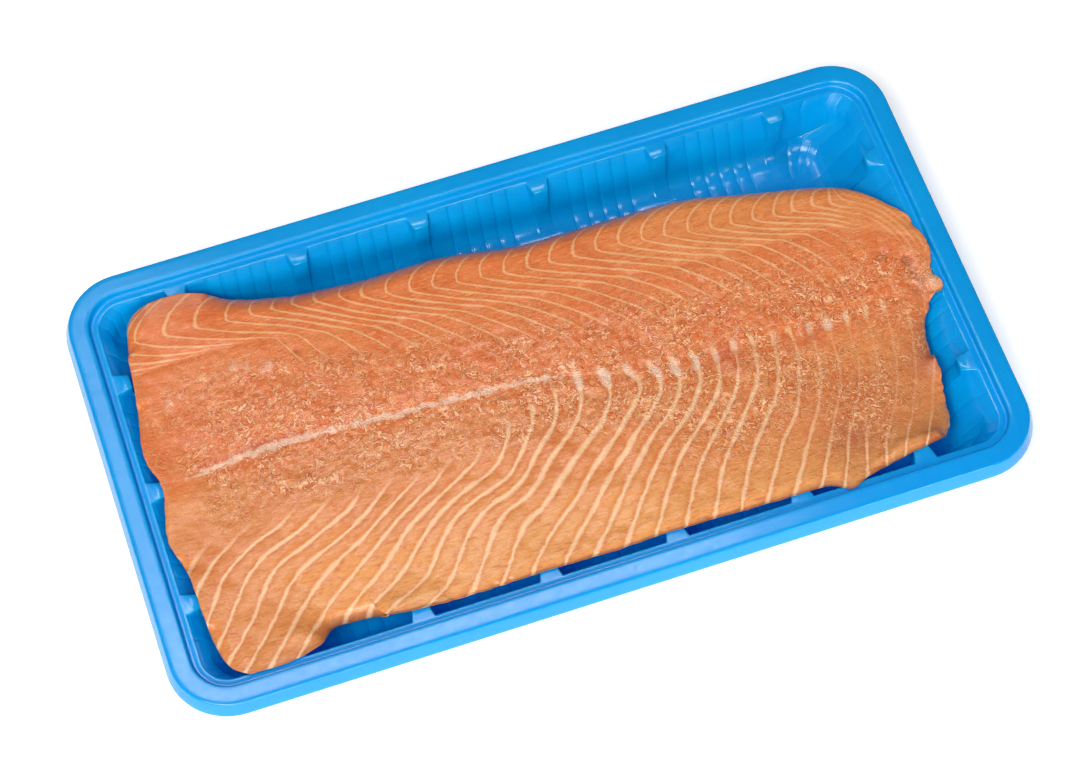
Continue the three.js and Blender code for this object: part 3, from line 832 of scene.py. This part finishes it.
def belly_count_field():
    """A smooth field through the belly's guide lines: a function of x and y."""
    spots, numbers = [], []
    for number, line in BELLY_LINES.items():
        for spot in line:
            spots.append(spot)
            numbers.append(number)
    for x in range(-160, 171, 15):
        spots.append((x, float(height_on(MIDDLE, np.array([x]))[0])))
        numbers.append(float(loin_count(np.array([float(x)]), np.array([1.0]))[0]))
    spots = np.array(spots, float) / 100
    count = len(spots)

    def bend(distance):
        return np.where(distance > 0, distance ** 2 * np.log(distance + 1e-9), 0)

    gaps = np.linalg.norm(spots[:, None] - spots[None], axis=2)
    system = np.zeros((count + 3, count + 3))
    system[:count, :count] = bend(gaps) + np.eye(count) * 1e-4
    system[:count, count] = 1
    system[:count, count + 1:] = spots
    system[count:, :count] = system[:count, count:].T
    weights = np.linalg.solve(system, np.concatenate([numbers, [0, 0, 0]]))

    def field(x, y):
        value = weights[count] + weights[count + 1] * x / 100 + weights[count + 2] * y / 100
        for weight, spot in zip(weights[:count], spots):
            value = value + weight * bend(np.hypot(x / 100 - spot[0], y / 100 - spot[1]))
        return value

    return field


def loin_count(x, share):
    """Line number in the loin; share is 0 at the seam and 1 at the middle line."""
    run = np.interp(x, *zip(*LOIN_RUN)) * np.sin(share * np.pi / 2)
    return SEAM_FIRST[0] + (x - run - SEAM_FIRST[1]) / SEAM_PITCH


def point_count(x, table):
    """Line number whose point lies at x along the back."""
    return np.interp(x, [spot for _, spot in table], [n for n, _ in table])


def mark_flesh(x, y, depth_along):
    """Line numbers and distances from the main marks at points of the top surface.

    depth_along is the distance measured over the surface from the row's front end.
    """
    px, py = x - MARK_SHIFT[0], y - MARK_SHIFT[1]
    seam = height_on(SEAM, px)
    middle = height_on(MIDDLE, px)
    points = height_on(POINTS_LINE, px)
    to_seam = py - seam
    to_middle = py - middle

    share = clamp01((seam - py) / np.maximum(seam - middle, 1))
    at_seam = point_count(px - np.interp(px, *zip(*LOIN_RUN)) * np.sin(share * np.pi / 2)
                          - np.interp(px, *zip(*ARM_RUN)), POINT_SPOTS)
    loin = mix(at_seam, loin_count(px, share), fade(share, 0.1, 0.8))
    belly = belly_count_field()(px, py)
    rise = clamp01(to_seam / np.maximum(points - seam, 1))
    bow = mix((1 - rise) ** 1.2, 1 - np.sqrt(rise), fade(-px, 85, 130))
    lower = point_count(px - np.interp(px, *zip(*ARM_RUN)) * bow, POINT_SPOTS)
    # Over the back edge the surface drops away, so the distance over it is used instead.
    start = np.array([np.interp(0.0, row_y - row_p, row_s) for row_y, row_p, row_s
                      in zip(py, points, depth_along)])
    over = np.maximum(depth_along - start[:, None], np.maximum(0, py - points))
    upper = point_count(px - 0.05 * over ** 2,
                        CORNER_SPOTS + [spot for spot in POINT_SPOTS if spot[0] > 3])
    count = np.where(to_middle < 5 * fade(px, 30, 50), belly, loin)
    count = np.where(to_seam > 0, lower, count)
    count = np.where(py > points, upper, count)
    # Round the right end the lines run side by side along the outline.
    reach = np.hypot(px - ROUND_END["x"], py - ROUND_END["y"])
    along_end = ROUND_END["count"] + (reach - ROUND_END["reach"]) / ROUND_END["pitch"]
    at_end = fade(px, 146, 158) * fade(py, -14, -2)
    count = mix(count, along_end, at_end)
    end_show = fade(reach, 32, 37) * fade(py, -2, 8)
    return count, to_seam, to_middle, at_end, end_show


def spot_marks(x, y, places):
    """1 at each (x, y, radius) place, fading to 0 round it."""
    return clamp01(sum(np.exp(-((x - sx) ** 2 + (y - sy) ** 2) / radius ** 2)
                       for sx, sy, radius in places))


def make_fillet(material):
    u = fractions_across(CELLS_ALONG, ROUND["left"], ROUND["right"], SPAN_ALONG)
    v = fractions_across(CELLS_ACROSS, ROUND["front"], ROUND["back"], SPAN_ACROSS)
    surface, grid_u, grid_v = stretched_surface(u, v)
    x, y, edge_z = surface[..., 0], surface[..., 1], surface[..., 2]
    rest = rest_height(x, y)
    swell = (rounded(grid_v * SPAN_ACROSS, ROUND["front"])
             * rounded((1 - grid_v) * SPAN_ACROSS, ROUND["back"])
             * rounded(grid_u * SPAN_ALONG, ROUND["left"])
             * rounded((1 - grid_u) * SPAN_ALONG, ROUND["right"]))
    lines = [smooth_value(line, grid_u.ravel()) for line in TOP_HEIGHTS]
    net = smooth_value(np.array(lines), grid_v.ravel()).reshape(grid_u.shape)
    top = np.maximum(net, rest + THIN_FLAP)
    for _ in range(3):
        top = np.maximum(soften(top, 40), rest + THIN_FLAP - 0.9)
    top = soften(top, 6)
    top_z = np.maximum(mix(edge_z, top, swell), rest + 0.4 * swell)
    under_z = np.maximum(mix(edge_z, rest, swell), rest)

    steps = np.sqrt(np.diff(y, axis=1) ** 2 + np.diff(top_z, axis=1) ** 2)
    depth_along = np.concatenate([np.zeros((len(u), 1)), np.cumsum(steps, axis=1)], axis=1)
    count, to_seam, to_middle, at_end, end_show = mark_flesh(x, y, depth_along)

    # How far apart the lines are, in mm, from how fast the count changes over the surface.
    du_x, dv_x = np.gradient(x)
    du_y, dv_y = np.gradient(y)
    du_c, dv_c = np.gradient(count)
    area = du_x * dv_y - dv_x * du_y
    slope_x = (du_c * dv_y - dv_c * du_y) / area
    slope_y = (dv_c * du_x - du_c * dv_x) / area
    pitch = np.clip(1 / np.maximum(np.hypot(slope_x, slope_y), 1e-3), 1.2, 14.0)
    pitch = soften(pitch, 3)

    flat = np.column_stack([x.ravel(), y.ravel(), top_z.ravel()])
    broad = rough_field(flat, 32.0, 5, 2).reshape(x.shape)
    medium = rough_field(flat, 9.0, 6, 3).reshape(x.shape)
    fine = rough_field(flat, 2.6, 7, 2).reshape(x.shape)
    from_back = (1 - grid_v) * SPAN_ACROSS
    below = -to_middle
    from_seam = -to_seam
    in_belly = fade(below, -2, 16)
    in_back = fade(to_seam, -1.5, 1.5)
    in_loin = (1 - in_back) * (1 - fade(below, -1, 1))
    in_lower = 1 - in_back - in_loin
    right_end = fade(x, 70, 130)
    start = np.interp(x, *zip(*BELLY_START))
    shown = fade(below, start - 4, start + 8)
    scraped = clamp01(
        in_loin * mix(0.25, 1.0, fade(from_seam, 6, 20)) * (1 - 0.7 * fade(-x, 150, 165))
        + in_lower * (1 - fade(below, 20, 36)) * fade(x, -165, -140) * (1 - 0.5 * right_end)
        + spot_marks(x, y, ROUGH_SPOTS) * in_lower)
    loin_show = 0.85 * (1 - fade(from_seam, mix(8, 14, fade(x, -60, 20)),
                                 mix(18, 30, fade(x, -60, 20))))
    loin_show = loin_show * fade(x, -114, -100) * (1 - fade(x, 132, 146))
    loin_show = np.maximum(loin_show, 0.3 * fade(x, 80, 120))
    strength = (in_back * 0.85 + in_loin * loin_show
                + in_lower * shown * (1 - 0.75 * right_end * (1 - fade(below, 52, 66))))
    thick = np.exp(-((x + 5) / 60) ** 2) * np.exp(-((y + 50 - 0.1 * x) / 18) ** 2)
    dash = fade(x, -2, 6) * (1 - fade(x, 148, 156))
    dash = dash * fade(below, -5, -2) * (1 - fade(below - mix(6, 1.5, fade(x, 55, 90)), 0, 4))
    strength = np.maximum(strength, 0.9 * dash * fade(below, -5, -2))
    strength = mix(strength, 0.5 * end_show, at_end)
    width = (0.62 * in_back + 0.55 * in_loin
             + in_lower * (0.9 + 0.5 * thick - 0.25 * right_end)
             + 1.3 * dash * clamp01(0.85 + 0.8 * medium))
    nearest = np.abs((count + 0.5) % 1 - 0.5) * pitch
    line = (1 - fade(nearest, width * 0.5, width * 1.8)) * strength
    crease = np.exp(-(to_seam / 1.5) ** 2) * (0.15 + 0.45 * fade(-x, 120, 150))
    pits = spot_marks(x, y, PITS)
    scuffs = spot_marks(x, y, SCUFFS)
    nub = spot_marks(x, y, NUB)
    crack = spot_marks(x, y, CRACK)
    valley = np.exp(-((x - 168 + 0.2 * (y + 12)) / 4) ** 2) * np.exp(-((y + 12) / 9) ** 2)
    relief = (0.5 * broad + 0.25 * medium + fine * (0.05 + 0.25 * scraped)
              - 0.2 * line * in_lower + 0.12 * line * in_back - 0.7 * crease
              - 0.3 * np.exp(-(to_middle / 4) ** 2) - 1.0 * pits + 0.35 * scuffs
              - 1.6 * valley + 1.6 * nub - 0.8 * crack)
    top_z = np.maximum(top_z + relief * fade(swell, 0.25, 1.0), rest + 0.3 * swell)

    marks = {
        "line_count": count,
        "line_pitch": pitch,
        "line_width": width,
        "line_strength": clamp01(strength),
        "middle_mm": to_middle,
        "belly": in_belly,
        "scraped": scraped,
        "gold": clamp01(0.75 * in_lower * fade(below, 32, 72) * (1 - 0.7 * fade(-x, 100, 150))
                        + 0.4 * in_back * fade(x, 20, 80) + 0.5 * nub),
        # Brown flesh at the right end, spots, valley, pits and crack; the last term is painted shade along
        # the front edge's rounding.
        "brown_and_edge_shade": clamp01(
            0.3 * right_end * fade(below, 12, 30) * (1 - 0.6 * fade(below, 52, 70))
            + 0.55 * spot_marks(x, y, BROWN_SPOTS)
            + 0.6 * valley + 0.9 * pits + 0.8 * crack + 0.55 * (1 - fade(grid_v * SPAN_ACROSS, 0.0, 6.0))),
        "rim_tone": clamp01((0.25 + 0.4 * fade(x, -100, -80)) * (1 - fade(x, 50, 90))
                            * (1 - fade(from_back, 4, 11))),
        "middle_width": ((1.3 + 0.8 * medium) * fade(x, -164, -150) * (1 - fade(x, 0, 12))
                         + 0.5 * np.exp(-((x + 118) / 14) ** 2)
                         + 0.4 * np.exp(-((x + 68) / 10) ** 2)),
        "red_bit": clamp01(0.6 * spot_marks(x, y, RED_SPOTS)
                           * (0.4 + 0.6 * clamp01(medium + 0.5))
                           + 0.45 * np.exp(-((to_middle - 2.6) / 1.0) ** 2)
                           * fade(x, -160, -150) * (1 - fade(x, -100, -85))
                           + 0.15 * pits),
        "pale_bit": clamp01(0.6 * scuffs * clamp01(fine + 0.6) + 0.5 * nub),
    }
    deselect_all()
    bpy.ops.mesh.primitive_grid_add(x_subdivisions=CELLS_ALONG,
                                    y_subdivisions=CELLS_ACROSS, size=1.0)
    upper = bpy.context.object
    place = np.zeros(len(upper.data.vertices) * 3)
    upper.data.vertices.foreach_get("co", place)
    place = place.reshape(-1, 3)
    column = np.rint((place[:, 0] + 0.5) * CELLS_ALONG).astype(int)
    row = np.rint((place[:, 1] + 0.5) * CELLS_ACROSS).astype(int)
    bpy.ops.object.duplicate()
    lower = bpy.context.object
    for sheet_object, heights in ((upper, top_z), (lower, under_z)):
        spots = np.column_stack([x[column, row], y[column, row],
                                 heights[column, row] + TRAY_HEIGHT]) * MM
        sheet_object.data.vertices.foreach_set("co", spots.ravel())
        for name, values in marks.items():
            layer = sheet_object.data.attributes.new(name, "FLOAT", "POINT")
            layer.data.foreach_set("value", values[column, row].astype(np.float32))
        sheet_object.data.update()
    lower.data.flip_normals()
    deselect_all()
    upper.select_set(True)
    lower.select_set(True)
    bpy.context.view_layer.objects.active = upper
    bpy.ops.object.join()
    bpy.ops.object.mode_set(mode="EDIT")
    bpy.ops.mesh.select_all(action="SELECT")
    bpy.ops.mesh.remove_doubles(threshold=MERGE * MM)
    bpy.ops.object.mode_set(mode="OBJECT")
    bpy.ops.object.shade_smooth()
    finish_piece(upper, "salmon_fillet", material, "fillet")
    return upper


# ================= Table, light and camera =================

def make_table():
    deselect_all()
    bpy.ops.mesh.primitive_plane_add(size=6.0, location=(0, 0, -0.0004))
    table = bpy.context.object
    table.name = "table"
    table.data.materials.append(table_top())


def soft_light(name, place, aim, width, depth, watts):
    deselect_all()
    bpy.ops.object.light_add(type="AREA", location=place)
    light = bpy.context.object
    light.name = name
    light.data.shape = "RECTANGLE"
    light.data.size = width
    light.data.size_y = depth
    light.data.energy = watts
    direction = Vector(aim) - Vector(place)
    light.rotation_euler = direction.to_track_quat("-Z", "Y").to_euler()


def light_scene():
    """A dim room and the softboxes of the table above."""
    world = bpy.data.worlds.new("soft_room")
    bpy.context.scene.world = world
    world.use_nodes = True
    background = world.node_tree.nodes["Background"]
    background.inputs["Color"].default_value = (1.0, 1.0, 1.0, 1.0)
    background.inputs["Strength"].default_value = 0.1
    for light in LIGHTS:
        soft_light(*light)


def place_camera():
    """The photograph's viewpoint, solved from the corners of the flange's two edges."""
    deselect_all()
    bpy.ops.object.camera_add()
    camera = bpy.context.object
    camera.location = Vector(CAMERA_PLACE) * MM
    camera.rotation_euler = [math.radians(turn) for turn in CAMERA_TURNS]
    camera.data.lens = CAMERA_LENS
    camera.data.sensor_width = 36.0
    camera.data.sensor_fit = "HORIZONTAL"
    bpy.context.scene.camera = camera


bpy.context.scene.view_settings.view_transform = "Standard"
place_camera()
light_scene()
make_table()
make_tray(tray_plastic())
make_fillet(flesh())
